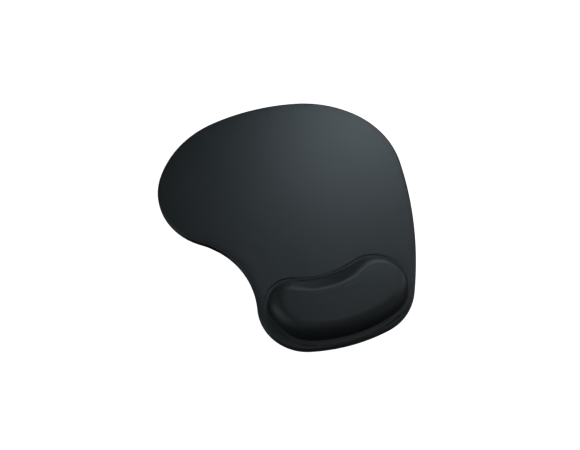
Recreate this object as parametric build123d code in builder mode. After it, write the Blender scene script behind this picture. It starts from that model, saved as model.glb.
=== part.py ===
from build123d import *
import os
from math import atan2, copysign, degrees, sqrt
from typing import NamedTuple

# A desk mat with a soft gel cushion for the wrist at its front edge, in millimetres.
# +X runs to the right along the cushion, +Y away from the user, and +Z up.
# The origin is on the table, under the middle of the mat's own width and length.

# Overall size of the mat
mat_width = 220.0
mat_length = 250.0

# Far edge: a flat crown between two round lobes, each set back from the far edge
crown_radius = 190.0
crown_x = -2.0
crown_left_x = -44.5
crown_right_x = 38.0
right_lobe_radius = 81.0
right_lobe_setback = 88.0
left_lobe_radius = 59.5
left_lobe_setback = 77.5

# Sides: nearly straight on the right, hollow on the left where the mat narrows to the cushion
right_side_radius = 360.0
left_hollow_radius = 71.0

# Front edge, which goes round the cushion
front_radius = 152.0
front_x = 12.0
front_left_radius = 41.0
front_left_shift = 31.5
front_right_radius = 45.5
front_right_shift = 38.5

# Cushion, as its foot's outline on the mat: a kidney with its hollow side away from the user
cushion_x = 14.0
cushion_length = 117.5
cushion_margin = 6.5
cushion_front_radius = 115.0
cushion_front_x = 12.0
cushion_right_end_radius = 28.5
cushion_hollow_radius = 86.0
cushion_left_lobe_radius = 20.5
cushion_left_lobe_drop = 1.0
cushion_left_side_radius = 48.5
cushion_front_left_radius = 33.5
cushion_front_left_shift = 35.0

# Layers, from the table up
base_thickness = 2.4
base_film_thickness = 0.2
foam_thickness = 1.8
pressed_foam_thickness = 0.6
cover_film_thickness = 0.2
cover_thickness = 0.6
pouch_film_thickness = 0.3

# Heights and edges
cushion_height = 20.0
cushion_rounding = 12.0
edge_rounding = 1.5
base_border = 0.5
base_chamfer = 0.4
groove_width = 2.0

# Levels of the faces that the layers share
foam_bottom = base_thickness + base_film_thickness
pouch_bottom = foam_bottom + pouch_film_thickness
skin = cover_film_thickness + cover_thickness
mat_height = foam_bottom + foam_thickness + skin
groove_height = foam_bottom + pressed_foam_thickness + skin


class Round(NamedTuple):
    """The circle of one arc of an outline. A hollow arc has a negative radius."""

    centre: Vector
    radius: float


def bridge(before: Round, after: Round, radius: float) -> Round:
    """The arc of a given radius that runs smoothly from one arc of an outline to another."""
    to_before = radius - before.radius
    to_after = radius - after.radius
    span = after.centre - before.centre
    along = (to_before**2 - to_after**2 + span.length**2) / (2 * span.length)
    aside = copysign(sqrt(to_before**2 - along**2), radius)
    forward = span.normalized()
    leftward = Vector(-forward.Y, forward.X)
    return Round(before.centre + forward * along + leftward * aside, radius)


def corner_inside(arc: Round, x: float, radius: float) -> Round:
    """The round corner of a given radius, centred at x, that touches a front arc from inside."""
    drop = sqrt((arc.radius - radius) ** 2 - (x - arc.centre.X) ** 2)
    return Round(Vector(x, arc.centre.Y - drop), radius)


def shoulder(crown: Round, x: float, lobe: Round) -> Round:
    """The arc that leaves the crown at x and runs smoothly into a lobe, whatever radius that takes."""
    rise = sqrt(crown.radius**2 - (x - crown.centre.X) ** 2)
    start = Vector(x, crown.centre.Y + rise)
    outward = (start - crown.centre).normalized()
    reach = start - lobe.centre
    radius = (reach.length**2 - lobe.radius**2) / (2 * (reach.dot(outward) - lobe.radius))
    return Round(start - outward * radius, radius)


def outward_between(before: Round, after: Round) -> Vector:
    """The outline's outward direction at the point where two of its arcs meet."""
    return (before.centre - after.centre) / (after.radius - before.radius)


def draw_outline(rounds: list[Round], inset: float) -> None:
    """Draw the closed chain of arcs, counter-clockwise, moved inwards by inset."""
    for index, arc in enumerate(rounds):
        facing = copysign(1, arc.radius)
        begin = outward_between(rounds[index - 1], arc) * facing
        end = outward_between(arc, rounds[(index + 1) % len(rounds)]) * facing
        start_angle = degrees(atan2(begin.Y, begin.X))
        end_angle = degrees(atan2(end.Y, end.X))
        sweep = facing * ((facing * (end_angle - start_angle)) % 360)
        CenterArc(arc.centre, abs(arc.radius - inset), start_angle, sweep)


def block(rounds: list[Round], inset: float, bottom: float, top: float) -> Part:
    """An upright block of an outline, moved inwards by inset."""
    with BuildPart() as solid:
        with BuildSketch(Plane.XY.offset(bottom)):
            with BuildLine():
                draw_outline(rounds, inset)
            make_face()
        extrude(amount=top - bottom)
    return solid.part


def rounded_block(rounds: list[Round], inset: float, bottom: float, top: float, rounding: float) -> Part:
    """The same block with its top edge rounded."""
    plain = block(rounds, inset, bottom, top)
    with BuildPart() as solid:
        add(plain)
        fillet(solid.edges().group_by(Axis.Z)[-1], rounding)
    return solid.part


def sheet_under(depth: float, bottom: float) -> Part:
    """The mat without its cushion, at a depth under the cover's outer face.

    The groove round the cushion's foot is pressed into it.
    """
    slab = rounded_block(mat_outline, base_border + depth, bottom, mat_height - depth, edge_rounding - depth)
    groove = block(cushion_outline, -groove_width - depth, groove_height - depth, mat_height)
    with BuildPart() as solid:
        add(slab)
        add(groove, mode=Mode.SUBTRACT)
    return solid.part


def dome_under(depth: float, bottom: float) -> Part:
    """The cushion, at a depth under the cover's outer face."""
    return rounded_block(
        cushion_outline, depth, bottom, cushion_height - depth, cushion_rounding - depth
    )


def body_under(depth: float) -> Part:
    """The mat and its cushion as one body, from the base up to a depth under the cover's outer face."""
    sheet = sheet_under(depth, base_thickness)
    dome = dome_under(depth, base_thickness)
    with BuildPart() as solid:
        add(sheet)
        add(dome)
    return solid.part


def finish(part: Part, name: str) -> None:
    """Label a finished piece and write it to its own file."""
    part.label = name
    export_step(part, f"parts/{name}.step")


# Outline of the mat, counter-clockwise from its front edge
cushion_left = cushion_x - cushion_length / 2
cushion_right = cushion_x + cushion_length / 2
far_y = mat_length / 2
near_y = -mat_length / 2

front = Round(Vector(front_x, near_y + front_radius), front_radius)
front_left = corner_inside(front, cushion_left + front_left_shift, front_left_radius)
front_right = corner_inside(front, cushion_right - front_right_shift, front_right_radius)
crown = Round(Vector(crown_x, far_y - crown_radius), crown_radius)
right_lobe = Round(
    Vector(mat_width / 2 - right_lobe_radius, far_y - right_lobe_setback), right_lobe_radius
)
left_lobe = Round(
    Vector(-mat_width / 2 + left_lobe_radius, far_y - left_lobe_setback), left_lobe_radius
)
mat_outline = [
    front,
    front_right,
    bridge(front_right, right_lobe, right_side_radius),
    right_lobe,
    shoulder(crown, crown_right_x, right_lobe),
    crown,
    shoulder(crown, crown_left_x, left_lobe),
    left_lobe,
    bridge(left_lobe, front_left, -left_hollow_radius),
    front_left,
]

# Outline of the cushion's foot, counter-clockwise from its front edge
cushion_front = Round(
    Vector(cushion_front_x, near_y + cushion_margin + cushion_front_radius), cushion_front_radius
)
cushion_right_end = corner_inside(
    cushion_front, cushion_right - cushion_right_end_radius, cushion_right_end_radius
)
cushion_front_left = corner_inside(
    cushion_front, cushion_left + cushion_front_left_shift, cushion_front_left_radius
)
cushion_far_y = cushion_right_end.centre.Y + cushion_right_end_radius
cushion_left_lobe = Round(
    Vector(
        cushion_left + cushion_left_lobe_radius,
        cushion_far_y - cushion_left_lobe_drop - cushion_left_lobe_radius,
    ),
    cushion_left_lobe_radius,
)
cushion_outline = [
    cushion_front,
    cushion_right_end,
    bridge(cushion_right_end, cushion_left_lobe, -cushion_hollow_radius),
    cushion_left_lobe,
    bridge(cushion_left_lobe, cushion_front_left, cushion_left_side_radius),
    cushion_front_left,
]

os.makedirs("parts", exist_ok=True)

# Grippy mat that lies on the table, a little wider than the rest
base_plate = block(mat_outline, 0, 0, base_thickness)
with BuildPart() as base_mat:
    add(base_plate)
    chamfer(base_mat.edges().group_by(Axis.Z)[0], base_chamfer)
finish(base_mat.part, "base_mat")

# Film that bonds the foam and the gel pouch to the base
film_plate = block(mat_outline, base_border + skin, base_thickness, foam_bottom)
with BuildPart() as base_bond_film:
    add(film_plate)
finish(base_bond_film.part, "base_bond_film")

# Foam sheet, cut out round the gel pouch and pressed thin round the cut-out
foam_blank = sheet_under(skin, foam_bottom)
foam_window = block(cushion_outline, skin, foam_bottom, mat_height)
with BuildPart() as foam_sheet:
    add(foam_blank)
    add(foam_window, mode=Mode.SUBTRACT)
finish(foam_sheet.part, "foam_sheet")

# Gel cushion, in a pouch of two films
pouch_floor = block(cushion_outline, skin, foam_bottom, pouch_bottom)
with BuildPart() as gel_lower_film:
    add(pouch_floor)
finish(gel_lower_film.part, "gel_lower_film")

pouch_outside = dome_under(skin, pouch_bottom)
pouch_inside = dome_under(skin + pouch_film_thickness, pouch_bottom)
with BuildPart() as gel_upper_film:
    add(pouch_outside)
    add(pouch_inside, mode=Mode.SUBTRACT)
finish(gel_upper_film.part, "gel_upper_film")

with BuildPart() as gel_core:
    add(pouch_inside)
finish(gel_core.part, "gel_core")

# Knitted cover, stretched over the foam and the pouch, and the film that bonds it down
cover_outside = body_under(0)
film_outside = body_under(cover_thickness)
film_inside = body_under(skin)
with BuildPart() as cover_bond_film:
    add(film_outside)
    add(film_inside, mode=Mode.SUBTRACT)
finish(cover_bond_film.part, "cover_bond_film")

with BuildPart() as cover_fabric:
    add(cover_outside)
    add(film_outside, mode=Mode.SUBTRACT)
finish(cover_fabric.part, "cover_fabric")
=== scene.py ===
"""Looks of a desk mat with a gel wrist cushion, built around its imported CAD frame.

Every piece is a stack of closed rings round the cushion, worked out from one plan of the mat: the outline
of its rim and the outline of the cushion's foot. Lengths are in metres.
"""

import logging
import math
from dataclasses import dataclass, field
from enum import Enum

import bpy
import numpy as np
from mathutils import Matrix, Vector


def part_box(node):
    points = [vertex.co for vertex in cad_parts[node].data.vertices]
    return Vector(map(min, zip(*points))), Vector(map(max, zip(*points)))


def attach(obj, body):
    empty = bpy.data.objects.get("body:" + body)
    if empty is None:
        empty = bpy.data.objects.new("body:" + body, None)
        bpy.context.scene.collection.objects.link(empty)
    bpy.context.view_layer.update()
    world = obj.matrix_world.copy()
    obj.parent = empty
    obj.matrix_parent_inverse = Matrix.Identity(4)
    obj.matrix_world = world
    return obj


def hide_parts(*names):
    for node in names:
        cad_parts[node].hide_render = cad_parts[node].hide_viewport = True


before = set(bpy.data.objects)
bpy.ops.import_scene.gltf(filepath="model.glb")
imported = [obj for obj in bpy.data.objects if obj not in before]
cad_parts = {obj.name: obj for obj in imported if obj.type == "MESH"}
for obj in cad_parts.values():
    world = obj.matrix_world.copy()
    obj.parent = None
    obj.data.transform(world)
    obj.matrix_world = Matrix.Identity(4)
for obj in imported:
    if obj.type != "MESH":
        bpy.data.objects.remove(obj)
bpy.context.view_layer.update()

log = logging.getLogger("wrist_rest")
MM = 0.001
TURN = 2 * math.pi
RAY_STEPS = 3000
FAN_STEPS = 1440
ANGLE_SLACK = 1e-9
SHARP_ANGLE = math.radians(42)
TOWARDS_USER = -math.pi / 2
Colour = tuple[float, float, float, float]


class Slot(Enum):
    """The record's material slots."""

    COVER = "cover_fabric"
    BASE = "base_rubber"
    FOAM = "foam"
    GEL = "gel"
    POUCH = "pouch_film"
    BOND = "bond_film"


class Edge(Enum):
    """How a stack of rings is closed at its two ends."""

    POLES = "poles"
    LOOP = "loop"


# ---------------------------------------------------------------------------------------------- plan


@dataclass(frozen=True)
class Arc:
    """One arc of an outline: its centre, and its radius, negative where the outline is hollow."""

    x: float
    y: float
    radius: float


def bridge(before: Arc, after: Arc, radius: float) -> Arc:
    """Find the arc that runs smoothly from one arc of an outline to another.

    Its centre is the corner of a triangle whose other corners are the two arcs' centres, and whose sides
    there are the differences of the radii.

    Args:
        before: the arc it leaves, going counter-clockwise.
        after: the arc it runs into.
        radius: its own radius, negative where the outline is hollow.

    Returns:
        The joining arc.
    """
    to_before, to_after = radius - before.radius, radius - after.radius
    span_x, span_y = after.x - before.x, after.y - before.y
    span = math.hypot(span_x, span_y)
    along = (to_before**2 - to_after**2 + span**2) / (2 * span)
    aside = math.copysign(math.sqrt(to_before**2 - along**2), radius)
    return Arc(
        before.x + (span_x * along - span_y * aside) / span,
        before.y + (span_y * along + span_x * aside) / span,
        radius,
    )


def corner_inside(front: Arc, x: float, radius: float) -> Arc:
    """Find the round corner that touches a front arc from inside.

    Args:
        front: the arc along the front edge.
        x: where the corner is centred.
        radius: the corner's radius.

    Returns:
        The corner's arc.
    """
    drop = math.sqrt((front.radius - radius) ** 2 - (x - front.x) ** 2)
    return Arc(x, front.y - drop, radius)


def shoulder(crown: Arc, x: float, lobe: Arc) -> Arc:
    """Find the arc that leaves the far crown at x and runs smoothly into a lobe.

    Args:
        crown: the flat arc along the far edge.
        x: where the crown ends.
        lobe: the round lobe at the mat's side.

    Returns:
        The joining arc, whose radius follows from the two.
    """
    out_x = (x - crown.x) / crown.radius
    out_y = math.sqrt(1 - out_x**2)
    start_x, start_y = x, crown.y + out_y * crown.radius
    reach_x, reach_y = start_x - lobe.x, start_y - lobe.y
    outward = reach_x * out_x + reach_y * out_y
    radius = (reach_x**2 + reach_y**2 - lobe.radius**2) / (2 * (outward - lobe.radius))
    return Arc(start_x - out_x * radius, start_y - out_y * radius, radius)


class Outline:
    """A closed outline of arcs that run smoothly into each other, counter-clockwise."""

    def __init__(self, arcs: list[Arc]) -> None:
        """Work out where each arc starts and how far it turns.

        Neighbouring arcs share one outward direction where they meet: the line through their two centres.

        Args:
            arcs: the arcs in order.
        """
        self.centre = np.array([(a.x, a.y) for a in arcs])
        self.radius = np.array([a.radius for a in arcs])
        before, before_radius = np.roll(self.centre, 1, axis=0), np.roll(self.radius, 1)
        meeting = (before - self.centre) / (self.radius - before_radius)[:, None]
        self.start = np.arctan2(meeting[:, 1], meeting[:, 0])
        facing = np.sign(self.radius)
        self.turn = facing * ((facing * (np.roll(self.start, -1) - self.start)) % TURN)

    def walk(self, count: int) -> tuple[np.ndarray, np.ndarray]:
        """Step along the outline at even distances.

        Args:
            count: how many points to return.

        Returns:
            The points and the outward directions there, each count x 2.
        """
        ends = np.cumsum(self.radius * self.turn)
        distance = np.arange(count) * ends[-1] / count
        arc = np.searchsorted(ends, distance, side="right")
        angle = self.start[arc] + (distance - (ends - self.radius * self.turn)[arc]) / self.radius[arc]
        outward = np.stack([np.cos(angle), np.sin(angle)], axis=-1)
        return self.centre[arc] + self.radius[arc][:, None] * outward, outward

    def depth(self, x: np.ndarray, y: np.ndarray) -> np.ndarray:
        """Measure how far inside the outline points lie.

        A point's distance to each arc counts where the arc faces it, and the nearest one holds.

        Args:
            x: the points' x.
            y: the points' y.

        Returns:
            The distances to the outline, negative outside.
        """
        across = x[..., None] - self.centre[:, 0]
        up = y[..., None] - self.centre[:, 1]
        facing = np.sign(self.radius)
        angle = np.arctan2(up * facing, across * facing)
        past_start = (facing * (angle - self.start)) % TURN
        inside = self.radius - facing * np.hypot(across, up)
        faced = np.where(past_start <= np.abs(self.turn) + ANGLE_SLACK, np.abs(inside), np.inf)
        nearest = np.argmin(faced, axis=-1)
        return np.take_along_axis(inside, nearest[..., None], axis=-1)[..., 0]

    def meet_rays(self, origin: np.ndarray, angle: np.ndarray) -> tuple[np.ndarray, np.ndarray]:
        """Find where rays leave the outline.

        Args:
            origin: where each ray starts, count x 2.
            angle: each ray's direction.

        Returns:
            The points on the outline and the outward directions there, each count x 2.
        """
        points, outward = self.walk(RAY_STEPS)
        ray = np.stack([np.cos(angle), np.sin(angle)], axis=-1)
        across = points[None] - origin[:, None]
        side = ray[:, None, 0] * across[..., 1] - ray[:, None, 1] * across[..., 0]
        ahead = (ray[:, None] * across).sum(axis=-1) > 0
        crossing = (side < 0) & (np.roll(side, -1, axis=1) >= 0) & ahead
        first = np.argmax(crossing, axis=1)
        row, second = np.arange(len(angle)), (first + 1) % RAY_STEPS
        share = (side[row, first] / (side[row, first] - side[row, second]))[:, None]
        found = points[first] * (1 - share) + points[second] * share
        direction = outward[first] * (1 - share) + outward[second] * share
        return found, direction / np.linalg.norm(direction, axis=1, keepdims=True)


@dataclass
class MatPlan:
    """The mat seen from above: its outline, the cushion's foot and the lines that the rings follow."""

    crown_radius: float = 190 * MM
    crown_x: float = -2 * MM
    crown_ends: tuple[float, float] = (-44.5 * MM, 38 * MM)
    right_lobe_radius: float = 81 * MM
    right_lobe_setback: float = 88 * MM
    left_lobe_radius: float = 59.5 * MM
    left_lobe_setback: float = 77.5 * MM
    right_side_radius: float = 360 * MM
    left_hollow_radius: float = 71 * MM
    front_radius: float = 152 * MM
    front_x: float = 12 * MM
    front_left_radius: float = 41 * MM
    front_left_shift: float = 31.5 * MM
    front_right_radius: float = 45.5 * MM
    front_right_shift: float = 38.5 * MM
    cushion_margin: float = 8.2 * MM
    cushion_front_radius: float = 115 * MM
    cushion_front_x: float = 12 * MM
    cushion_right_end_radius: float = 27.1 * MM
    cushion_hollow_radius: float = 86 * MM
    cushion_left_lobe_radius: float = 20.5 * MM
    cushion_left_lobe_drop: float = 1.8 * MM
    cushion_left_side_radius: float = 48.5 * MM
    cushion_front_left_radius: float = 33.5 * MM
    cushion_front_left_shift: float = 35 * MM
    skin: float = 0.8 * MM
    fan_shift: float = 43 * MM
    fan_power: float = 2.0
    mat: Outline = field(init=False)
    foot: Outline = field(init=False)
    hub: np.ndarray = field(init=False)

    def __post_init__(self) -> None:
        """Draw both outlines at the size that the frame gives."""
        low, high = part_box("base_mat")
        pouch_low, pouch_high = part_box("gel_lower_film")
        left, right = pouch_low.x - self.skin, pouch_high.x + self.skin
        self.mat = self._mat_outline(low, high, left, right)
        self.foot = self._foot_outline(low.y, left, right)
        self.hub = np.array([(left + right) / 2, (pouch_low.y + pouch_high.y) / 2])

    def _mat_outline(self, low: Vector, high: Vector, left: float, right: float) -> Outline:
        """Chain the arcs of the mat's rim.

        Args:
            low: the base's lowest corner.
            high: the base's highest corner.
            left: the cushion's left end.
            right: the cushion's right end.

        Returns:
            The rim's outline.
        """
        front = Arc(self.front_x, low.y + self.front_radius, self.front_radius)
        front_left = corner_inside(front, left + self.front_left_shift, self.front_left_radius)
        front_right = corner_inside(front, right - self.front_right_shift, self.front_right_radius)
        crown = Arc(self.crown_x, high.y - self.crown_radius, self.crown_radius)
        radius = self.right_lobe_radius
        right_lobe = Arc(high.x - radius, high.y - self.right_lobe_setback, radius)
        radius = self.left_lobe_radius
        left_lobe = Arc(low.x + radius, high.y - self.left_lobe_setback, radius)
        return Outline([
            front,
            front_right,
            bridge(front_right, right_lobe, self.right_side_radius),
            right_lobe,
            shoulder(crown, self.crown_ends[1], right_lobe),
            crown,
            shoulder(crown, self.crown_ends[0], left_lobe),
            left_lobe,
            bridge(left_lobe, front_left, -self.left_hollow_radius),
            front_left,
        ])

    def _foot_outline(self, near_y: float, left: float, right: float) -> Outline:
        """Chain the arcs of the cushion's foot, a kidney with its hollow side away from the user.

        Args:
            near_y: the mat's front edge.
            left: the cushion's left end.
            right: the cushion's right end.

        Returns:
            The foot's outline.
        """
        radius = self.cushion_front_radius
        front = Arc(self.cushion_front_x, near_y + self.cushion_margin + radius, radius)
        radius = self.cushion_right_end_radius
        right_end = corner_inside(front, right - radius, radius)
        far_y = right_end.y + radius - self.cushion_left_lobe_drop
        radius = self.cushion_front_left_radius
        front_left = corner_inside(front, left + self.cushion_front_left_shift, radius)
        radius = self.cushion_left_lobe_radius
        left_lobe = Arc(left + radius, far_y - radius, radius)
        return Outline([
            front,
            right_end,
            bridge(right_end, left_lobe, -self.cushion_hollow_radius),
            left_lobe,
            bridge(left_lobe, front_left, self.cushion_left_side_radius),
            front_left,
        ])

    def area(self) -> float:
        """Measure the mat's plan.

        It is the sum of the triangles between the origin and each step of the outline.

        Returns:
            The area.
        """
        points, _ = self.mat.walk(RAY_STEPS)
        ahead = np.roll(points, -1, axis=0)
        return float((points[:, 0] * ahead[:, 1] - points[:, 1] * ahead[:, 0]).sum() / 2)

    def spokes(self, count: int) -> "Spokes":
        """Draw lines from the cushion's hub out to the rim, evenly spread on both outlines.

        Away from the user the lines start further from the hub, so that they fan out past the hollow in the
        mat's left side. Their angles are spaced by the mean of the distances that they step along the foot
        and the rim.

        Args:
            count: how many lines.

        Returns:
            The lines' ends.
        """
        angle = np.linspace(-math.pi, math.pi, FAN_STEPS, endpoint=False)
        foot, _, rim, _ = self._ends(angle)
        steps = [np.linalg.norm(np.roll(line, -1, axis=0) - line, axis=1) for line in (foot, rim)]
        share = sum(step / step.sum() for step in steps) / len(steps)
        reached = np.concatenate([[0.0], np.cumsum(share)])
        even = np.interp(np.arange(count) / count, reached, np.append(angle, math.pi))
        return Spokes(*self._ends(even))

    def _ends(self, angle: np.ndarray) -> tuple[np.ndarray, np.ndarray, np.ndarray, np.ndarray]:
        """Find where lines at these angles cross the foot and the rim.

        Args:
            angle: the lines' angles.

        Returns:
            The foot's points and outward directions, and the rim's.
        """
        rise = np.clip(np.sin(angle), 0, None) ** self.fan_power
        shift = np.stack([np.zeros_like(angle), self.fan_shift * rise], axis=-1)
        foot, foot_out = self.foot.meet_rays(np.broadcast_to(self.hub, shift.shape), angle)
        rim, rim_out = self.mat.meet_rays(self.hub + shift, angle)
        return foot, foot_out, rim, rim_out


@dataclass
class Spokes:
    """The two ends of each line, with the outlines' outward directions there."""

    foot: np.ndarray
    foot_out: np.ndarray
    rim: np.ndarray
    rim_out: np.ndarray


# ------------------------------------------------------------------------------------------- relief


def ease(value: np.ndarray) -> np.ndarray:
    """Run smoothly from 0 to 1 as value does: three times its square less twice its cube."""
    share = np.clip(value, 0, 1)
    return share * share * (3 - 2 * share)


@dataclass(frozen=True)
class Bearing:
    """A way from the cushion's hub, as an angle from +X, and the power that narrows the bell round it."""

    turn: float
    power: float


@dataclass
class Relief:
    """The shape of the cover's outer face, and of each layer's face at a depth under it.

    The mat is flat, with a rounded rim. A groove is pressed into it round the cushion's foot, and fades
    out at the cushion's two ends. Inside the foot the cushion rises in an elliptical slope to a slightly
    crowned top. On the hollow side the slope is wider and straighter.
    """

    plan: MatPlan
    border: float = 0.5 * MM
    rim_width: float = 3.0 * MM
    rim_drop: float = 1.6 * MM
    droop: float = 0.45 * MM
    droop_width: float = 8 * MM
    groove_depth: float = 1.1 * MM
    groove_width: float = 2.7 * MM
    groove_hollow_extra: float = -0.9 * MM
    groove_front_extra: float = 3.2 * MM
    groove_wall: float = 0.7 * MM
    groove_wall_hollow_extra: float = 0.5 * MM
    groove_calm: float = 0.97
    hollow_calm: float = 0.45
    calm_right: Bearing = Bearing(math.radians(10), 3)
    calm_left: Bearing = Bearing(math.pi, 6)
    front: Bearing = Bearing(TOWARDS_USER, 2)
    crease_depth: float = 0.5 * MM
    crease_width: float = 0.35 * MM
    foot_pinch: float = 0.45 * MM
    foot_pinch_hollow_extra: float = 0.6 * MM
    foot_pinch_width: float = 0.5 * MM
    sharp_depth: float = 1.1 * MM
    slope_width: float = 11 * MM
    slope_power: float = 2.0
    hollow_extra_width: float = 7 * MM
    right_less_width: float = 3.5 * MM
    right_end: Bearing = Bearing(math.radians(10), 8)
    hollow_power: float = 1.1
    hollow_x: float = 7 * MM
    hollow_reach: float = 34 * MM
    hollow_fade: float = 14 * MM
    crown: float = 2.6 * MM
    crown_half: tuple[float, float] = (64 * MM, 36 * MM)
    clearance: float = 0.1 * MM
    mat_top: float = field(init=False)
    edge_bottom: float = field(init=False)
    cushion_top: float = field(init=False)

    def __post_init__(self) -> None:
        """Take the levels from the frame."""
        self.mat_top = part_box("foam_sheet")[1].z + self.plan.skin
        self.edge_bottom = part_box("base_mat")[1].z
        self.cushion_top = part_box("cover_fabric")[1].z - self.clearance

    def hollow_share(self, x: np.ndarray, y: np.ndarray) -> np.ndarray:
        """Say how much of the hollow side's flatter slope a point has.

        It is a bell across x, about the hollow's middle, times an easing from the hub's line away from the
        user.

        Args:
            x: the points' x.
            y: the points' y.

        Returns:
            Shares from 0 to 1.
        """
        bell = np.exp(-(((x - self.hollow_x) / self.hollow_reach) ** 2))
        return bell * ease((y - self.plan.hub[1]) / self.hollow_fade)

    def toward(self, x: np.ndarray, y: np.ndarray, way: Bearing) -> np.ndarray:
        """Say how much a point lies one way from the hub: the cosine of the angle between, to a power.

        The plan is first squeezed so that the crown's ellipse is a circle.

        Args:
            x: the points' x.
            y: the points' y.
            way: the way and its power.

        Returns:
            Shares from 0 to 1.
        """
        long_half, short_half = self.crown_half
        angle = np.arctan2((y - self.plan.hub[1]) / short_half, (x - self.plan.hub[0]) / long_half)
        return np.clip(np.cos(angle - way.turn), 0, 1) ** way.power

    def slope_at(self, x: np.ndarray, y: np.ndarray) -> np.ndarray:
        """Width of the cushion's slope at a point: more in the hollow, less at the right end."""
        more = self.hollow_extra_width * self.hollow_share(x, y)
        return self.slope_width + more - self.right_less_width * self.toward(x, y, self.right_end)

    def mat_face(self, x: np.ndarray, y: np.ndarray, depth: float) -> np.ndarray:
        """Work out the mat's height, as it would be without the cushion.

        It is the lower of the rim's ellipse and the mat's top less the groove, with a narrow crease on each
        side of the groove. The creases fade with depth.

        Args:
            x: the points' x.
            y: the points' y.
            depth: how deep the face lies under the outer one.

        Returns:
            The heights, still without the depth taken off.
        """
        from_foot = self.plan.foot.depth(x, y)
        from_rim = self.plan.mat.depth(x, y) - self.border - depth
        front = self.toward(x, y, self.front)
        share = self.hollow_share(x, y)
        calm = np.maximum(self.toward(x, y, self.calm_right), self.toward(x, y, self.calm_left))
        keep = (1 - self.groove_calm * calm) * (1 - self.hollow_calm * share)
        sharp = keep * max(1 - depth / self.sharp_depth, 0)
        width = self.groove_width + self.groove_front_extra * front + self.groove_hollow_extra * share
        wall = self.groove_wall + self.groove_wall_hollow_extra * share
        past = -from_foot - depth - width
        flat = self.mat_top - self.groove_depth * keep * (1 - ease(past / wall))
        crease = self.crease_depth * front * sharp
        flat = flat - crease * np.exp(-((past / self.crease_width) ** 2))
        pinch = (self.foot_pinch + self.foot_pinch_hollow_extra * share) * sharp
        flat = flat - pinch * np.exp(-(((from_foot - depth) / self.foot_pinch_width) ** 2))
        flat = flat - self.droop * np.clip(1 - from_rim / self.droop_width, 0, 1) ** 2
        over = np.clip(1 - from_rim / (self.rim_width - depth), 0, 1)
        rim = self.mat_top - self.droop * over**2 - self.rim_drop * (1 - np.sqrt(1 - over**2))
        return np.minimum(flat, rim)

    def slope(self, x: np.ndarray, y: np.ndarray, depth: float) -> np.ndarray:
        """Work out how far up the cushion points are: a superellipse of the distance from the foot.

        Args:
            x: the points' x.
            y: the points' y.
            depth: how deep the face lies under the outer one.

        Returns:
            Shares, 0 at the foot and beyond it, and 1 on the top.
        """
        power = self.slope_power + (self.hollow_power - self.slope_power) * self.hollow_share(x, y)
        reach = np.clip((self.plan.foot.depth(x, y) - depth) / self.slope_at(x, y), 0, 1)
        return (1 - (1 - reach) ** power) ** (1 / power)

    def height(self, x: np.ndarray, y: np.ndarray, depth: float) -> np.ndarray:
        """Work out a face's height from the plan.

        Outside the foot it is the mat's. Inside, it runs up the slope to the crown, which falls off with
        the squares of the distances from the hub.

        Args:
            x: the points' x.
            y: the points' y.
            depth: how deep the face lies under the outer one.

        Returns:
            The heights.
        """
        across = (x - self.plan.hub[0]) / self.crown_half[0]
        up = (y - self.plan.hub[1]) / self.crown_half[1]
        crown = self.cushion_top - self.crown * (across**2 + up**2)
        ground = self.mat_face(x, y, depth)
        return ground + (crown - ground) * self.slope(x, y, depth) - depth


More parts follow.
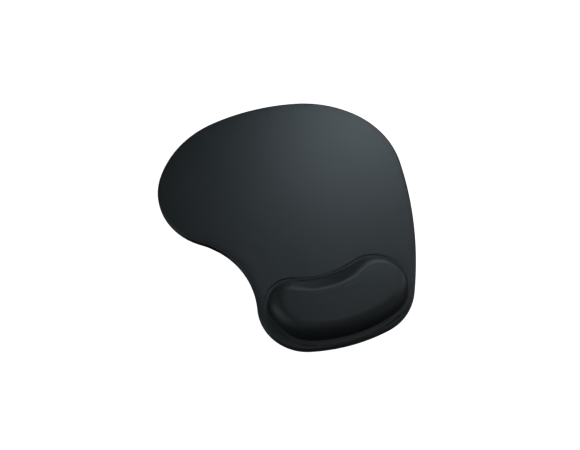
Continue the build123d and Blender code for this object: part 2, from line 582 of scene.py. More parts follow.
@dataclass
class RingMaker:
    """Lays closed rings of points on the faces, following the plan's spokes.

    The rings run from the cushion's hub out to the mat's rim, and then down its side. At a depth they keep
    their order and draw inwards by as much.
    """

    relief: Relief
    spokes: Spokes
    slope_rings: int = 15
    top_rings: int = 12
    flat_rings: int = 26
    side_rings: int = 4
    floor_rings: int = 6
    groove_steps_mm: tuple[float, ...] = (
        0.25, 0.6, 1.1, 1.7, 2.3, 2.8, 3.15, 3.45, 3.75, 4.05, 4.4, 4.8, 5.4
    )
    rim_steps_mm: tuple[float, ...] = (
        4.2, 3.4, 2.8, 2.3, 1.85, 1.45, 1.1, 0.8, 0.52, 0.3, 0.13, 0.03, 0.0
    )
    core_shrink: tuple[float, float] = (0.45, 0.12)
    narrow_share: float = 0.37
    bend_share: float = 0.3
    relax_rounds: int = 1500
    plan: np.ndarray = field(init=False)
    outward: np.ndarray = field(init=False)

    def __post_init__(self) -> None:
        """Lay the rings of the outer face in the plan."""
        dome, apron = self._dome_plan(), self._apron_plan()
        near, far = dome.shape[0] + len(self.groove_steps_mm), len(self.rim_steps_mm)
        grow = np.clip((np.arange(near) + 1) / self.top_rings, 0, 1)
        turn = np.concatenate([np.zeros(near), np.linspace(0, 1, self.flat_rings + 2)[1:-1], np.ones(far)])
        turn = turn[:, None, None]
        self.plan = np.concatenate([dome, apron])
        self.outward = self.spokes.foot_out * (1 - turn) + self.spokes.rim_out * turn
        self.outward[:near] *= grow[:, None, None]

    @property
    def dome_rings(self) -> int:
        """How many of the rings lie on the cushion."""
        return self.top_rings + self.slope_rings

    def _dome_plan(self) -> np.ndarray:
        """Lay the cushion's rings in the plan, from near its hub out to its foot.

        Those on the slope keep an even distance from the foot, closer together where it is steep. Those on
        the top run evenly on to a small copy of the foot round the hub, flatter than the foot is.

        Returns:
            The rings, rings x spokes x 2.
        """
        foot, outward = self.spokes.foot, self.spokes.foot_out
        width = self.relief.slope_at(foot[:, 0], foot[:, 1])
        swing = np.linspace(math.pi / 2, 0, self.slope_rings)
        inwards = (1 - np.cos(swing))[:, None, None] * width[None, :, None]
        slope = foot[None] - outward[None] * inwards
        hub = self.relief.plan.hub
        core = hub + (foot - hub) * np.array(self.core_shrink)
        share = np.linspace(0, 1, self.top_rings + 1)[:-1, None, None]
        return np.concatenate([core * (1 - share) + slope[:1] * share, slope])

    def _apron_plan(self) -> np.ndarray:
        """Lay the mat's rings in the plan, from the cushion's foot out to the rim.

        They follow the foot over the groove and the rim over its rounding. Between the two, each line
        starts as a cubic curve at right angles to both, and the rings are then relaxed. Where the mat is
        narrow, both sets draw together in proportion.

        Returns:
            The rings, rings x spokes x 2.
        """
        foot, rim = self.lines(0)
        foot_out, rim_out = self.spokes.foot_out, self.spokes.rim_out
        gap = np.linalg.norm(rim - foot, axis=1)[None, :, None]
        near = np.array(self.groove_steps_mm)[:, None, None] * MM
        far = np.array(self.rim_steps_mm)[:, None, None] * MM
        by_foot = foot + foot_out * near * np.minimum(1, self.narrow_share * gap / near.max())
        by_rim = rim - rim_out * far * np.minimum(1, self.narrow_share * gap / far.max())
        start, end = by_foot[-1], by_rim[0]
        share = np.linspace(0, 1, self.flat_rings + 2)[:, None, None]
        reach = self.bend_share * np.linalg.norm(end - start, axis=1)[:, None]
        between = (
            start * (1 - share) ** 3
            + (start + foot_out * reach) * 3 * share * (1 - share) ** 2
            + (end - rim_out * reach) * 3 * share**2 * (1 - share)
            + end * share**3
        )
        return np.concatenate([by_foot, relax(between, self.relax_rounds)[1:-1], by_rim])

    def lines(self, depth: float) -> tuple[np.ndarray, np.ndarray]:
        """Find the spokes' ends at a depth: the foot and the rim, moved inwards."""
        spokes = self.spokes
        foot = spokes.foot - spokes.foot_out * depth
        rim = spokes.rim - spokes.rim_out * (self.relief.border + depth)
        return foot, rim

    def lift(self, plan: np.ndarray, depth: float) -> np.ndarray:
        """Raise points of the plan onto the face at a depth.

        Args:
            plan: rings of points, any shape x 2.
            depth: the face's depth under the outer one.

        Returns:
            The same rings with their heights, any shape x 3.
        """
        height = self.relief.height(plan[..., 0], plan[..., 1], depth)
        return np.concatenate([plan, height[..., None]], axis=-1)

    def dome(self, depth: float) -> np.ndarray:
        """Lay the rings of the cushion's face at a depth."""
        rings = slice(0, self.dome_rings)
        return self.lift(self.plan[rings] - self.outward[rings] * depth, depth)

    def apron(self, depth: float) -> np.ndarray:
        """Lay the rings of the mat's face at a depth, outside the cushion's foot."""
        rings = slice(self.dome_rings, None)
        return self.lift(self.plan[rings] - self.outward[rings] * depth, depth)

    def side(self, depth: float, bottom: float) -> np.ndarray:
        """Lay rings down the mat's side, below its rounded rim.

        Args:
            depth: the face's depth under the outer one.
            bottom: where the side ends.

        Returns:
            The rings, rings x spokes x 3.
        """
        _, rim = self.lines(depth)
        top = self.lift(rim, depth)
        share = np.linspace(0, 1, self.side_rings + 1)[1:, None]
        rings = np.repeat(top[None], self.side_rings, axis=0)
        rings[..., 2] = top[:, 2] * (1 - share) + bottom * share
        return rings

    def face(self, depth: float, bottom: float) -> np.ndarray:
        """Lay rings over the whole face, from the hub out and down to its edge."""
        return np.concatenate([self.dome(depth), self.apron(depth), self.side(depth, bottom)])

    def unroll(self, rings: np.ndarray) -> np.ndarray:
        """Lay a face's rings flat for its pattern.

        A point keeps its place in the plan, moved outwards by how much longer its line is than the line's
        plan, so that the pattern isn't smeared over a slope.

        Args:
            rings: the points of a whole face, rings x spokes x 3.

        Returns:
            The places, rings x spokes x 2.
        """
        step = np.diff(rings, axis=0)
        gained = np.linalg.norm(step, axis=-1) - np.linalg.norm(step[..., :2], axis=-1)
        gained = np.concatenate([np.zeros_like(gained[:1]), np.cumsum(gained, axis=0)])
        down = np.repeat(self.outward[-1:], len(rings) - len(self.outward), axis=0)
        return rings[..., :2] + np.concatenate([self.outward, down]) * gained[..., None]

    def foot_ring(self, depth: float, height: float) -> np.ndarray:
        """Lay one ring straight below the cushion's foot."""
        foot, _ = self.lines(depth)
        return level(foot[None], height)

    def floor(self, depth: float, height: float) -> np.ndarray:
        """Lay flat rings inside the cushion's foot, from near the hub out to it."""
        foot, _ = self.lines(depth)
        hub = self.relief.plan.hub
        share = np.linspace(0, 1, self.floor_rings + 1)[1:, None, None]
        return level(hub + (foot - hub) * share, height)

    def plate(self, depth: float, height: float) -> np.ndarray:
        """Lay flat rings between the cushion's foot and the rim, with both of them."""
        foot, rim = self.lines(depth)
        share = np.linspace(0, 1, self.floor_rings)[:, None, None]
        return level(foot * (1 - share) + rim * share, height)

    def slab(self, depth: float, top: float, bottom: float) -> list[np.ndarray]:
        """Lay the rings of a flat closed layer of the mat's outline.

        Args:
            depth: how far it stays inside the outline.
            top: height of its upper face.
            bottom: height of its lower face.

        Returns:
            The rings of its two faces, the lower one's running back.
        """
        upper, lower = [
            np.concatenate([self.floor(depth, z)[:-1], self.plate(depth, z)]) for z in (top, bottom)
        ]
        return [upper, lower[::-1]]


def relax(rings: np.ndarray, rounds: int) -> np.ndarray:
    """Even out flat rings between their first and last, so that no two lines cross.

    Each point moves to the mean of its four neighbours, where those along a line weigh by the square of
    the step round the ring and those round the ring by the square of the step along the line, less their
    diagonal part. This is the usual elliptic grid.

    Args:
        rings: the rings, rings x spokes x 2.
        rounds: how often the points are moved.

    Returns:
        The evened rings.
    """
    rings = rings.copy()
    for _ in range(rounds):
        ahead, behind = np.roll(rings, -1, axis=1), np.roll(rings, 1, axis=1)
        along = (rings[2:] - rings[:-2]) / 2
        around = (ahead - behind)[1:-1] / 2
        slant = ((ahead - behind)[2:] - (ahead - behind)[:-2]) / 4
        weigh_along = (around**2).sum(axis=-1, keepdims=True)
        weigh_around = (along**2).sum(axis=-1, keepdims=True)
        skew = (along * around).sum(axis=-1, keepdims=True)
        total = weigh_along * (rings[2:] + rings[:-2]) + weigh_around * (ahead + behind)[1:-1]
        total -= 2 * skew * slant
        rings[1:-1] = total / (2 * (weigh_along + weigh_around))
    return rings


def level(plan: np.ndarray, height: float) -> np.ndarray:
    """Put points of the plan at one height."""
    return np.concatenate([plan, np.full_like(plan[..., :1], height)], axis=-1)


def ring_mesh(
    name: str, rings: np.ndarray, edge: Edge = Edge.POLES, unrolled: np.ndarray | None = None
) -> bpy.types.Object:
    """Join closed rings into one closed surface.

    Each ring is joined to the next by four-sided faces that point outwards. With poles, a fan closes each
    end at the mean of its ring. In a loop, the last ring is joined to the first.

    Args:
        name: the piece's name.
        rings: the points, rings x spokes x 3.
        edge: how the two ends are closed.
        unrolled: each point's place in the UV map, in metres, rings x spokes x 2. It is the plan if absent.

    Returns:
        The new object, at the origin.
    """
    count, around = rings.shape[:2]
    index = np.arange(count * around).reshape(count, around)
    points = rings.reshape(-1, 3)
    flat = (rings[..., :2] if unrolled is None else unrolled).reshape(-1, 2)
    upper = index if edge is Edge.LOOP else index[:-1]
    lower = np.roll(index, -1, axis=0) if edge is Edge.LOOP else index[1:]
    corners = [upper, lower, np.roll(lower, -1, axis=1), np.roll(upper, -1, axis=1)]
    faces = np.stack(corners, axis=-1).reshape(-1, len(corners)).tolist()
    if edge is Edge.POLES:
        poles = np.array([rings[0].mean(axis=0), rings[-1].mean(axis=0)])
        points = np.concatenate([points, poles])
        flat = np.concatenate([flat, poles[:, :2]])
        first, last = index[0], index[-1]
        faces += np.stack([np.full(around, index.size), first, np.roll(first, -1)], axis=-1).tolist()
        faces += np.stack([np.full(around, index.size + 1), np.roll(last, -1), last], axis=-1).tolist()
    mesh = bpy.data.meshes.new(name)
    mesh.from_pydata(points, [], faces)
    corner = np.empty(len(mesh.loops), dtype=np.int32)
    mesh.loops.foreach_get("vertex_index", corner)
    mesh.uv_layers.new(name="plan").data.foreach_set("uv", flat[corner].astype(np.float32).ravel())
    mesh.polygons.foreach_set("use_smooth", np.ones(len(mesh.polygons), dtype=bool))
    mesh.set_sharp_from_angle(angle=SHARP_ANGLE)
    mesh.validate()
    piece = bpy.data.objects.new(name, mesh)
    bpy.context.scene.collection.objects.link(piece)
    return piece


# ----------------------------------------------------------------------------------------- finishes


# A mix node has several sockets of each name: these are its colours'.
MIX_FIRST, MIX_SECOND, MIX_RESULT = 6, 7, 2


@dataclass
class Wiring:
    """A material's nodes, laid one after another behind its shader."""

    name: str
    material: bpy.types.Material = field(init=False)

    def __post_init__(self) -> None:
        """Start a material with its shader."""
        self.material = bpy.data.materials.new(self.name)
        self.material.use_nodes = True

    @property
    def tree(self) -> bpy.types.NodeTree:
        """The material's node tree."""
        return self.material.node_tree

    @property
    def shader(self) -> bpy.types.Node:
        """The material's shader."""
        return self.tree.nodes["Principled BSDF"]

    def node(self, kind: str, feed: dict | None = None, **settings: object) -> bpy.types.Node:
        """Add a node.

        Args:
            kind: the node's type.
            feed: what each input takes, a value or another node's output, by its name or number.
            settings: the node's own properties.

        Returns:
            The node.
        """
        made = self.tree.nodes.new(kind)
        for key, value in settings.items():
            setattr(made, key, value)
        for key, value in (feed or {}).items():
            self.put(made.inputs[key], value)
        return made

    def put(self, socket: bpy.types.NodeSocket, value: object) -> None:
        """Set a socket's value, or link an output to it."""
        if isinstance(value, bpy.types.NodeSocket):
            self.tree.links.new(value, socket)
        else:
            socket.default_value = value

    def math(self, operation: str, *numbers: object) -> bpy.types.NodeSocket:
        """Add one sum of up to three numbers and return its result."""
        return self.node("ShaderNodeMath", dict(enumerate(numbers)), operation=operation).outputs[0]

    def blend(self, factor: object, first: object, second: object) -> bpy.types.NodeSocket:
        """Mix two colours."""
        feed = {"Factor": factor, MIX_FIRST: first, MIX_SECOND: second}
        return self.node("ShaderNodeMix", feed, data_type="RGBA").outputs[MIX_RESULT]

    def span(self, value: object, low: float, high: float) -> bpy.types.NodeSocket:
        """Spread a number from 0 to 1 over a range."""
        feed = {"Value": value, "To Min": low, "To Max": high}
        return self.node("ShaderNodeMapRange", feed).outputs[0]

    def object_place(self) -> bpy.types.NodeSocket:
        """Where a point lies in the object's own frame, in metres."""
        return self.node("ShaderNodeTexCoord").outputs["Object"]

    def unrolled_place(self) -> bpy.types.NodeSocket:
        """Where a point lies on the unrolled surface, in metres."""
        return self.node("ShaderNodeUVMap", uv_map="plan").outputs[0]

    def noise(
        self, place: object, size: float, detail: float = 2.0, rough: float = 0.5
    ) -> bpy.types.NodeSocket:
        """Add cloudy noise.

        Args:
            place: the coordinates it reads.
            size: how large its spots are, in metres.
            detail: how many finer layers lie over them.
            rough: how strong the finer layers are.

        Returns:
            Its strength, from 0 to 1.
        """
        feed = {"Vector": place, "Scale": 1 / size, "Detail": detail, "Roughness": rough}
        return self.node("ShaderNodeTexNoise", feed).outputs[0]

    def dents(self, height: object, depth: float, under: object = None) -> bpy.types.NodeSocket:
        """Turn a height from 0 to 1 into shading.

        Args:
            height: the height.
            depth: what a height of 1 is, in metres.
            under: shading that it is laid over.

        Returns:
            The turned normal.
        """
        feed = {"Height": height, "Distance": depth, "Strength": 1.0}
        if under is not None:
            feed["Normal"] = under
        return self.node("ShaderNodeBump", feed).outputs[0]

    def finish(self, **sockets: object) -> bpy.types.Material:
        """Feed the shader's sockets, named with underscores for spaces, and return the material."""
        for key, value in sockets.items():
            self.put(self.shader.inputs[key.replace("_", " ")], value)
        return self.material


@dataclass(frozen=True)
class KnitFinish:
    """Black stretch knit: columns of small V-shaped stitches with painted shade in the valleys between
    them, fine fluff and a faint cool sheen.
    """

    thread: Colour = (0.018, 0.0216, 0.022, 1)
    # gap is painted shade: the darker colour laid in the low valleys between the stitches
    gap: Colour = (0.009, 0.0108, 0.011, 1)
    wale: float = 0.62 * MM
    course: float = 0.46 * MM
    slant: float = 0.5
    wave: float = 0.22
    stitch_depth: float = 0.035 * MM
    fluff_size: float = 0.9 * MM
    fluff_depth: float = 0.05 * MM
    fluff_shade: tuple[float, float] = (0.55, 1.45)
    cloud_size: float = 34 * MM
    cloud_share: float = 0.12
    roughness: tuple[float, float] = (0.44, 0.54)
    specular: float = 0.5
    sheen: float = 0.01
    sheen_roughness: float = 0.45
    sheen_tint: Colour = (0.78, 0.9, 1.0, 1)

    def stitches(self, wiring: Wiring) -> bpy.types.NodeSocket:
        """Draw the stitches' height.

        Across a column it falls from the middle to the edges with the square of the distance. Along it, a
        cosine rises once for each stitch, and lags towards the edges, so that the stitches make a V.

        Args:
            wiring: the material it is drawn in.

        Returns:
            The height, from 0 to 1.
        """
        place = wiring.node("ShaderNodeSeparateXYZ", {0: wiring.unrolled_place()})
        across = wiring.math("FRACT", wiring.math("DIVIDE", place.outputs[0], self.wale))
        edge = wiring.math("ABSOLUTE", wiring.math("MULTIPLY_ADD", across, 2.0, -1.0))
        along = wiring.math("DIVIDE", place.outputs[1], self.course)
        lag = wiring.math("MULTIPLY", edge, self.slant)
        turn = wiring.math("MULTIPLY", wiring.math("ADD", along, lag), TURN)
        wave = wiring.math("MULTIPLY_ADD", wiring.math("COSINE", turn), self.wave, 1 - self.wave)
        column = wiring.math("SUBTRACT", 1.0, wiring.math("POWER", edge, 2.0))
        return wiring.math("MULTIPLY", column, wave)

    def make(self, name: str) -> bpy.types.Material:
        """Build the material.

        Args:
            name: its name.

        Returns:
            The material.
        """
        wiring = Wiring(name)
        stitches = self.stitches(wiring)
        fluff = wiring.noise(wiring.unrolled_place(), self.fluff_size, detail=3.0, rough=0.7)
        cloud = wiring.noise(wiring.object_place(), self.cloud_size, detail=2.0)
        # Painted shade: where the stitches sink, the thread colour runs into the darker gap colour.
        thread = wiring.blend(stitches, self.gap, self.thread)
        shade = wiring.math(
            "MULTIPLY",
            wiring.span(cloud, 1 - self.cloud_share, 1 + self.cloud_share),
            wiring.span(fluff, *self.fluff_shade),
        )
        colour = wiring.node("ShaderNodeVectorMath", {0: thread, "Scale": shade}, operation="SCALE")
        dents = wiring.dents(stitches, self.stitch_depth, wiring.dents(fluff, self.fluff_depth))
        return wiring.finish(
            Base_Color=colour.outputs[0],
            Roughness=wiring.span(fluff, *self.roughness),
            Normal=dents,
            Specular_IOR_Level=self.specular,
            Sheen_Weight=self.sheen,
            Sheen_Roughness=self.sheen_roughness,
            Sheen_Tint=self.sheen_tint,
        )


@dataclass(frozen=True)
class RubberFinish:
    """Matte grippy rubber, with fine pores and a little dust in its cloudy parts."""

    colour: Colour = (0.016, 0.017, 0.018, 1)
    dusty: Colour = (0.034, 0.035, 0.036, 1)
    cloud_size: float = 22 * MM
    pore_size: float = 0.35 * MM
    pore_depth: float = 0.03 * MM
    roughness: tuple[float, float] = (0.5, 0.72)

    def make(self, name: str) -> bpy.types.Material:
        """Build the material.

        Args:
            name: its name.

        Returns:
            The material.
        """
        wiring = Wiring(name)
        place = wiring.object_place()
        cloud = wiring.noise(place, self.cloud_size, detail=6.0, rough=0.6)
        pores = wiring.noise(place, self.pore_size, detail=2.0)
        return wiring.finish(
            Base_Color=wiring.blend(cloud, self.colour, self.dusty),
            Roughness=wiring.span(pores, *self.roughness),
            Normal=wiring.dents(pores, self.pore_depth),
        )


@dataclass(frozen=True)
class FoamFinish:
    """Dark closed-cell foam, whose cut cells show as small pits, with painted shade darkening each pit."""

    wall: Colour = (0.075, 0.075, 0.08, 1)
    # painted shade: the darker colour laid in the middle of each cut cell, where the surface dips
    painted_pit_shade: Colour = (0.03, 0.03, 0.034, 1)
    cell_size: float = 0.5 * MM
    cell_depth: float = 0.15 * MM
    roughness: tuple[float, float] = (0.8, 0.95)

    def make(self, name: str) -> bpy.types.Material:
        """Build the material.

        Args:
            name: its name.

        Returns:
            The material.
        """
        wiring = Wiring(name)
        feed = {"Vector": wiring.object_place(), "Scale": 1 / self.cell_size}
        cells = wiring.node("ShaderNodeTexVoronoi", feed).outputs["Distance"]
        return wiring.finish(
            # The pits take the painted shade colour, and the cell walls keep the foam's own colour.
            Base_Color=wiring.blend(cells, self.painted_pit_shade, self.wall),
            Roughness=wiring.span(cells, *self.roughness),
            Normal=wiring.dents(cells, self.cell_depth),
        )


@dataclass(frozen=True)
class SoftPlasticFinish:
    """Soft plastic that lets light through: the gel, its pouch's film or the hot-melt film."""

    pale: Colour
    deep: Colour
    cloud_size: float
    roughness: tuple[float, float]
    transmission: float
    ripple: float = 0.02 * MM

    def make(self, name: str) -> bpy.types.Material:
        """Build the material.

        Args:
            name: its name.

        Returns:
            The material.
        """
        wiring = Wiring(name)
        cloud = wiring.noise(wiring.object_place(), self.cloud_size, detail=4.0)
        return wiring.finish(
            Base_Color=wiring.blend(cloud, self.deep, self.pale),
            Roughness=wiring.span(cloud, *self.roughness),
            Normal=wiring.dents(cloud, self.ripple),
            Transmission_Weight=self.transmission,
        )


@dataclass(frozen=True)
class Finishes:
    """The finish of each material slot."""

    cover: KnitFinish = KnitFinish()
    base: RubberFinish = RubberFinish()
    foam: FoamFinish = FoamFinish()
    gel: SoftPlasticFinish = SoftPlasticFinish(
        (0.42, 0.55, 0.7, 1), (0.3, 0.42, 0.6, 1), 18 * MM, (0.12, 0.2), 0.6
    )
    pouch: SoftPlasticFinish = SoftPlasticFinish(
        (0.8, 0.83, 0.85, 1), (0.7, 0.74, 0.78, 1), 9 * MM, (0.1, 0.18), 0.8
    )
    bond: SoftPlasticFinish = SoftPlasticFinish(
        (0.62, 0.62, 0.58, 1), (0.5, 0.5, 0.46, 1), 3 * MM, (0.45, 0.6), 0.3
    )

    def materials(self) -> dict[Slot, bpy.types.Material]:
        """Build one material for each slot."""
        kinds = {
            Slot.COVER: self.cover,
            Slot.BASE: self.base,
            Slot.FOAM: self.foam,
            Slot.GEL: self.gel,
            Slot.POUCH: self.pouch,
            Slot.BOND: self.bond,
        }
        return {slot: finish.make(slot.value) for slot, finish in kinds.items()}


# ------------------------------------------------------------------------------------------- pieces


@dataclass
class Workbench:
    """What every sub-assembly is built with: the shape of the mat and the finishes."""

    relief: Relief
    materials: dict[Slot, bpy.types.Material]

    def maker(self, count: int) -> RingMaker:
        """Start a ring maker with so many spokes."""
        return RingMaker(self.relief, self.relief.plan.spokes(count))

    def piece(
        self,
        name: str,
        node: str,
        slot: Slot,
        layers: list[np.ndarray],
        edge: Edge = Edge.POLES,
        unrolled: np.ndarray | None = None,
    ) -> bpy.types.Object:
        """Join a piece's rings, and give it its finish and its place in the frame.

        Args:
            name: the piece's name.
            node: the CAD node it stands for.
            slot: the finish's slot.
            layers: sets of rings, one after another.
            edge: how the two ends are closed.
            unrolled: the rings' places in the UV map.

        Returns:
            The piece.
        """
        piece = ring_mesh(name, np.concatenate(layers), edge, unrolled)
        piece.data.materials.append(self.materials[slot])
        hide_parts(node)
        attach(piece, "root")
        return piece


@dataclass
class Cover:
    """The stretched cover: the knit, and the hot-melt film that bonds it down."""

    bench: Workbench
    knit_thickness: float = 0.6 * MM
    film_spokes: int = 240
    knit_spokes: int = 480

    def layer(
        self, name: str, node: str, slot: Slot, spokes: int, depths: tuple[float, float]
    ) -> bpy.types.Object:
        """Build a closed layer, whose rings run over its outer face and back over its inner one.

        Args:
            name: the layer's name.
            node: the CAD node it stands for.
            slot: its finish's slot.
            spokes: how many points each ring has.
            depths: depths of its outer and inner face.

        Returns:
            The layer.
        """
        maker = self.bench.maker(spokes)
        outer, inner = [maker.face(depth, self.bench.relief.edge_bottom) for depth in depths]
        unrolled = np.concatenate([maker.unroll(outer), maker.unroll(inner)[::-1]])
        return self.bench.piece(name, node, slot, [outer, inner[::-1]], unrolled=unrolled)

    def build(self) -> list[bpy.types.Object]:
        """Build the knit and its film."""
        knit_depths = (0.0, self.knit_thickness)
        film_depths = (self.knit_thickness, self.bench.relief.plan.skin)
        knit = self.layer("knit_cover", "cover_fabric", Slot.COVER, self.knit_spokes, knit_depths)
        self.bench.relief.plan.area()
        film = self.layer("cover_film", "cover_bond_film", Slot.BOND, self.film_spokes, film_depths)
        return [knit, film]


@dataclass
class Padding:
    """The foam sheet with its pressed groove, and the film that bonds it to the base."""

    bench: Workbench
    spokes: int = 240

    def build(self) -> list[bpy.types.Object]:
        """Build the foam and its film."""
        relief = self.bench.relief
        maker = self.bench.maker(self.spokes)
        foam_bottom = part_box("foam_sheet")[0].z
        skin = relief.plan.skin
        foot, _ = maker.lines(skin)
        layers = [
            maker.lift(foot[None], skin),
            maker.apron(skin),
            maker.side(skin, foam_bottom),
            maker.plate(skin, foam_bottom)[:-1][::-1],
        ]
        foam = self.bench.piece("foam_body", "foam_sheet", Slot.FOAM, layers, Edge.LOOP)
        layers = maker.slab(skin, foam_bottom, relief.edge_bottom)
        film = self.bench.piece("base_film", "base_bond_film", Slot.BOND, layers)
        return [foam, film]


@dataclass
class GelPouch:
    """The gel cushion in its pouch of two films."""

    bench: Workbench
    film: float = 0.3 * MM
    spokes: int = 240

    def build(self) -> list[bpy.types.Object]:
        """Build the gel and the pouch's upper and lower films."""
        skin = self.bench.relief.plan.skin
        inside = skin + self.film
        maker = self.bench.maker(self.spokes)
        low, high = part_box("gel_lower_film")
        layers = [maker.dome(inside), maker.floor(inside, high.z)[::-1]]
        gel = self.bench.piece("gel_pad", "gel_core", Slot.GEL, layers)
        layers = [
            maker.dome(skin),
            maker.foot_ring(skin, high.z),
            maker.foot_ring(inside, high.z),
            maker.dome(inside)[::-1],
        ]
        upper = self.bench.piece("pouch_dome", "gel_upper_film", Slot.POUCH, layers)
        layers = [maker.floor(skin, high.z), maker.floor(skin, low.z)[::-1]]
        lower = self.bench.piece("pouch_floor", "gel_lower_film", Slot.POUCH, layers)
        return [gel, upper, lower]


@dataclass
class Base:
    """The soft mat that lies on the table, with small rounded bumps moulded under it for grip."""

    bench: Workbench
    hub: tuple[float, float] = (0.0, -10 * MM)
    spokes: int = 720
    rings: int = 116
    top_rings: int = 5
    shoulder_rings: int = 4
    chamfer: float = 0.4 * MM
    top_round: float = 0.25 * MM
    bump_pitch: float = 6.0 * MM
    bump_height: float = 0.35 * MM
    plain_border: float = 5 * MM
    border_fade: float = 1.5 * MM

    def grip(self, x: np.ndarray, y: np.ndarray) -> np.ndarray:
        """Work out how far the underside stands above the table.

        Two cosines along the diagonals, multiplied, make staggered round bumps. They reach the table, and
        fade into a plain border that lies on it too.

        Args:
            x: the points' x.
            y: the points' y.

        Returns:
            The heights.
        """
        along, across = (x + y) / math.sqrt(2), (x - y) / math.sqrt(2)
        bump = np.cos(TURN * along / self.bump_pitch) * np.cos(TURN * across / self.bump_pitch)
        inside = ease((self.bench.relief.plan.mat.depth(x, y) - self.plain_border) / self.border_fade)
        return self.bump_height * inside * (1 - bump) / 2

    def build(self) -> list[bpy.types.Object]:
        """Build the base."""
        low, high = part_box("base_mat")
        rim, outward = self.bench.relief.plan.mat.walk(self.spokes)
        hub = np.array(self.hub)
        turn = np.linspace(0, math.pi / 2, self.shoulder_rings)[:, None, None]
        shoulder = rim - outward * self.top_round * (1 - np.sin(turn))
        height = np.broadcast_to(high.z - self.top_round * (1 - np.cos(turn)), shoulder[..., :1].shape)
        shoulder = np.concatenate([shoulder, height], axis=-1)
        share = np.linspace(0, 1, self.top_rings + 1)[1:-1, None, None]
        top = level(hub + (shoulder[:1, :, :2] - hub) * share, high.z)
        foot = rim - outward * self.chamfer
        share = np.linspace(1, 0, self.rings + 1)[:-1, None, None]
        under = hub + (foot - hub) * share
        height = low.z + self.grip(under[..., 0], under[..., 1])
        under = np.concatenate([under, height[..., None]], axis=-1)
        layers = [top, shoulder, level(rim[None], low.z + self.chamfer), under]
        return [self.bench.piece("grip_base", "base_mat", Slot.BASE, layers)]


# -------------------------------------------------------------------------------------------- stage


@dataclass(frozen=True)
class SoftBox:
    """A round, flat, soft light that faces the middle of the table."""

    name: str
    azimuth: float
    elevation: float
    distance: float
    size: float
    watts: float
    colour: tuple[float, float, float] = (0.86, 0.95, 1.0)

    def build(self) -> None:
        """Hang the light: its azimuth runs from +X towards +Y, and both angles are in degrees."""
        turn, lift = math.radians(self.azimuth), math.radians(self.elevation)
        away = Vector((math.cos(turn) * math.cos(lift), math.sin(turn) * math.cos(lift), math.sin(lift)))
        lamp = bpy.data.lights.new(self.name, "AREA")
        lamp.shape = "DISK"
        lamp.size = self.size
        lamp.energy = self.watts
        lamp.color = self.colour
        light = bpy.data.objects.new(self.name, lamp)
        light.location = away * self.distance
        light.rotation_mode = "QUATERNION"
        light.rotation_quaternion = away.to_track_quat("Z", "Y")
        light.visible_camera = False
        bpy.context.scene.collection.objects.link(light)


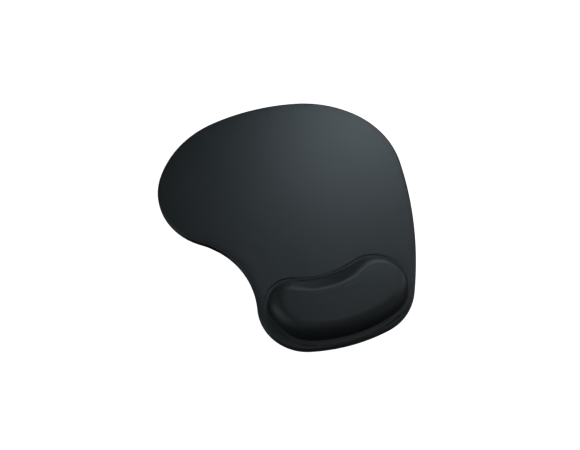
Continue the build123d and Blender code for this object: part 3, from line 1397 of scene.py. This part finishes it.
@dataclass
class Studio:
    """A pale table under soft light, with a pale backdrop all round."""

    floor_radius: float = 6.0
    floor_spokes: int = 96
    floor_colour: Colour = (0.9, 0.9, 0.9, 1)
    floor_glow: float = 1.2
    floor_roughness: tuple[float, float] = (0.8, 0.9)
    grain_size: float = 0.4
    inner_share: float = 0.02
    backdrop_rings: int = 24
    world_colour: Colour = (0.9, 0.95, 1.0, 1)
    world_strength: float = 0.02
    lights: tuple[SoftBox, ...] = (
        SoftBox("key_back", 54.5, 39.5, 0.322, 0.14, 0.38, (0.76, 0.9, 1.0)),
        SoftBox("key_right", 23, 38, 0.48, 0.22, 0.12),
        SoftBox("low_left", 180, 12, 1.0, 0.6, 1.8),
        SoftBox("low_right", 0, 12, 1.0, 0.6, 1.2),
        SoftBox("low_back_left", 135, 12, 1.0, 0.6, 0.15),
        SoftBox("low_front_right", 315, 12, 1.0, 0.6, 0.45),
        SoftBox("high_right", 0, 40, 1.0, 0.6, 0.4),
        SoftBox("high_front_left", 225, 40, 1.0, 0.6, 0.35),
        SoftBox("high_front", 270, 40, 1.0, 0.6, 0.25),
        SoftBox("overhead", 320, 78, 1.0, 0.6, 1.2),
    )

    def surface(self, name: str, radius: np.ndarray, height: np.ndarray) -> bpy.types.Object:
        """Turn a profile round the upright axis through the origin.

        Args:
            name: the surface's name.
            radius: the profile's distances from the axis.
            height: the profile's heights.

        Returns:
            The surface, closed at its first point.
        """
        turn = np.arange(self.floor_spokes) * TURN / self.floor_spokes
        ring = np.stack([np.cos(turn), np.sin(turn), np.zeros_like(turn)], axis=-1)
        rings = ring[None] * radius[:, None, None]
        rings[..., 2] = height[:, None]
        return ring_mesh(name, rings, Edge.POLES)

    def build(self) -> None:
        """Lay the table, close the backdrop over it and hang the lights."""
        wiring = Wiring("pale_table")
        grain = wiring.noise(wiring.object_place(), self.grain_size)
        pale = wiring.finish(
            Base_Color=self.floor_colour,
            Roughness=wiring.span(grain, *self.floor_roughness),
            Emission_Color=self.floor_colour,
            Emission_Strength=self.floor_glow,
        )
        radius = self.floor_radius
        table = self.surface("pale_table", np.array([radius * self.inner_share, radius]), np.zeros(2))
        rise = np.linspace(0, math.pi / 2, self.backdrop_rings, endpoint=False)
        backdrop = self.surface("backdrop", radius * np.cos(rise)[::-1], radius * np.sin(rise)[::-1])
        for piece in (table, backdrop):
            piece.data.materials.append(pale)
            piece.visible_diffuse = False
            piece.visible_glossy = False
        backdrop.visible_shadow = False
        world = bpy.data.worlds.new("soft_sky")
        world.use_nodes = True
        sky = world.node_tree.nodes["Background"]
        sky.inputs["Color"].default_value = self.world_colour
        sky.inputs["Strength"].default_value = self.world_strength
        bpy.context.scene.world = world
        for light in self.lights:
            light.build()
        bpy.context.scene.view_settings.view_transform = "Standard"


@dataclass(frozen=True)
class Viewpoint:
    """Where the camera stands: round the object by its azimuth, above it by its elevation, in degrees."""

    azimuth: float = -16.5
    elevation: float = 60.0
    distance: float = 0.7022
    target: tuple[float, float, float] = (-4.8 * MM, -3.75 * MM, 0.0)
    lens: float = 50.0

    def build(self) -> None:
        """Set the camera up."""
        turn, lift = math.radians(self.azimuth), math.radians(self.elevation)
        back = Vector((math.sin(turn) * math.cos(lift), -math.cos(turn) * math.cos(lift), math.sin(lift)))
        data = bpy.data.cameras.new("camera")
        data.lens = self.lens
        camera = bpy.data.objects.new("camera", data)
        camera.location = Vector(self.target) + back * self.distance
        camera.rotation_mode = "QUATERNION"
        camera.rotation_quaternion = (-back).to_track_quat("-Z", "Y")
        bpy.context.scene.collection.objects.link(camera)
        bpy.context.scene.camera = camera


# --------------------------------------------------------------------------------------------- main


def report(pieces: list[bpy.types.Object]) -> None:
    """Log each piece's name and number of faces."""
    for piece in pieces:
        log.info("%s: %d faces", piece.name, len(piece.data.polygons))


def main() -> None:
    """Build the camera, the object's sub-assemblies in order from the table up, and the studio."""
    logging.basicConfig(level=logging.INFO, format="%(message)s")
    Viewpoint().build()
    bench = Workbench(Relief(MatPlan()), Finishes().materials())
    for part in (Base, Padding, GelPouch, Cover):
        report(part(bench).build())
    Studio().build()


if __name__ == "__main__":
    main()
